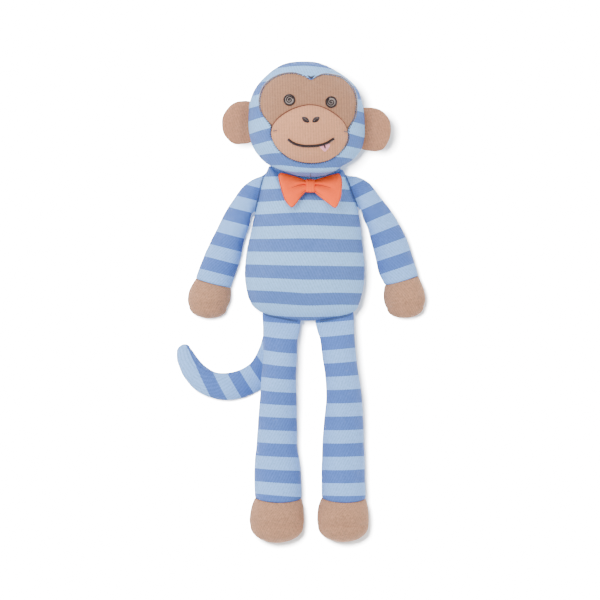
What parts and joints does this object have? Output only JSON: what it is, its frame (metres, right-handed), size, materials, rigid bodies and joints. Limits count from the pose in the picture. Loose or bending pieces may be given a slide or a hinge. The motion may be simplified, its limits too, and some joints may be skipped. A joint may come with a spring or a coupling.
{
  "type": "plush monkey",
  "caption": "Long-limbed striped knitted plush monkey with tan face, ears, hands and feet, a curved tail and a woven bow tie, lying on its back",
  "frame": {"origin": "under the middle of the whole toy, on the plane that its back, its hands and its heels lie on", "axes": "+Z out of the belly and face, +Y towards the top of the head, +X towards the toy's own left side"},
  "size_m": [0.1845, 0.3556, 0.0774],
  "materials": {
    "striped_knit": "soft weft knit in light and mid blue bands, matt",
    "tan_knit": "plain weft knit, tan, matt",
    "muzzle_knit": "plain weft knit, paler tan, matt",
    "polyester_fill": "loose white fibre filling, hidden",
    "dark_thread": "embroidery thread, slight sheen",
    "pink_thread": "satin stitch, slight sheen",
    "coral_weave": "plain woven cotton, coral orange, matt"
  },
  "bodies": {
    "torso": {"torso_front_panel": "striped_knit", "torso_back_panel": "striped_knit", "torso_stuffing": "polyester_fill"},
    "head": {"head_front_hood": "striped_knit", "head_back_hood": "striped_knit", "head_stuffing": "polyester_fill", "face_panel": "tan_knit", "muzzle_panel": "muzzle_knit", "right_eye_embroidery": "dark_thread", "left_eye_embroidery": "dark_thread", "right_nostril_embroidery": "dark_thread", "left_nostril_embroidery": "dark_thread", "mouth_embroidery": "dark_thread", "tongue_embroidery": "pink_thread"},
    "right_ear": {"right_ear_front": "tan_knit", "right_ear_back": "tan_knit"},
    "left_ear": {"left_ear_front": "tan_knit", "left_ear_back": "tan_knit"},
    "right_arm": {"right_sleeve_front": "striped_knit", "right_sleeve_back": "striped_knit", "right_hand_front": "tan_knit", "right_hand_back": "tan_knit", "right_arm_stuffing": "polyester_fill"},
    "left_arm": {"left_sleeve_front": "striped_knit", "left_sleeve_back": "striped_knit", "left_hand_front": "tan_knit", "left_hand_back": "tan_knit", "left_arm_stuffing": "polyester_fill"},
    "right_leg": {"right_leg_front": "striped_knit", "right_leg_back": "striped_knit", "right_foot_front": "tan_knit", "right_foot_back": "tan_knit", "right_leg_stuffing": "polyester_fill"},
    "left_leg": {"left_leg_front": "striped_knit", "left_leg_back": "striped_knit", "left_foot_front": "tan_knit", "left_foot_back": "tan_knit", "left_leg_stuffing": "polyester_fill"},
    "tail": {"tail_upper_panel": "striped_knit", "tail_lower_panel": "striped_knit", "tail_stuffing": "polyester_fill"},
    "bow_tie": {"bow_tie_loop": "coral_weave", "bow_tie_knot": "coral_weave"}
  },
  "joints": [
    {"name": "neck_nod", "type": "hinge", "parent": "torso", "child": "head", "pos_m": [0.004, 0.0954, 0.03], "axis": [1, 0, 0], "range_deg": [-18, 10], "stiffness_Nm_per_rad": 0.02},
    {"name": "right_ear_fold", "type": "hinge", "parent": "head", "child": "right_ear", "pos_m": [-0.0394, 0.133, 0.036], "axis": [0, 1, 0], "range_deg": [-50, 50], "stiffness_Nm_per_rad": 0.002},
    {"name": "left_ear_fold", "type": "hinge", "parent": "head", "child": "left_ear", "pos_m": [0.048, 0.128, 0.036], "axis": [0, -1, 0], "range_deg": [-50, 50], "stiffness_Nm_per_rad": 0.002},
    {"name": "right_shoulder_swing", "type": "hinge", "parent": "torso", "child": "right_arm", "pos_m": [-0.0324, 0.0796, 0.026], "axis": [0.249, 0.9685, 0], "range_deg": [-30, 65], "stiffness_Nm_per_rad": 0.005},
    {"name": "left_shoulder_swing", "type": "hinge", "parent": "torso", "child": "left_arm", "pos_m": [0.0393, 0.0812, 0.026], "axis": [0.3544, -0.9351, 0], "range_deg": [-30, 65], "stiffness_Nm_per_rad": 0.005},
    {"name": "right_hip_swing", "type": "hinge", "parent": "torso", "child": "right_leg", "pos_m": [-0.0139, -0.0138, 0.026], "axis": [-1, 0, 0], "range_deg": [0, 70], "stiffness_Nm_per_rad": 0.01},
    {"name": "left_hip_swing", "type": "hinge", "parent": "torso", "child": "left_leg", "pos_m": [0.0237, -0.0138, 0.026], "axis": [-1, 0, 0], "range_deg": [-30, 70], "stiffness_Nm_per_rad": 0.01},
    {"name": "tail_wag", "type": "hinge", "parent": "torso", "child": "tail", "pos_m": [-0.007, -0.005, 0.006], "axis": [0, 0, 1], "range_deg": [-30, 8], "stiffness_Nm_per_rad": 0.005},
    {"name": "bow_tie_swivel", "type": "hinge", "parent": "torso", "child": "bow_tie", "pos_m": [0.00665, 0.0854, 0.0446], "axis": [0, 0.5391, 0.8422], "range_deg": [-8, 8], "stiffness_Nm_per_rad": 0.002}
  ]
}
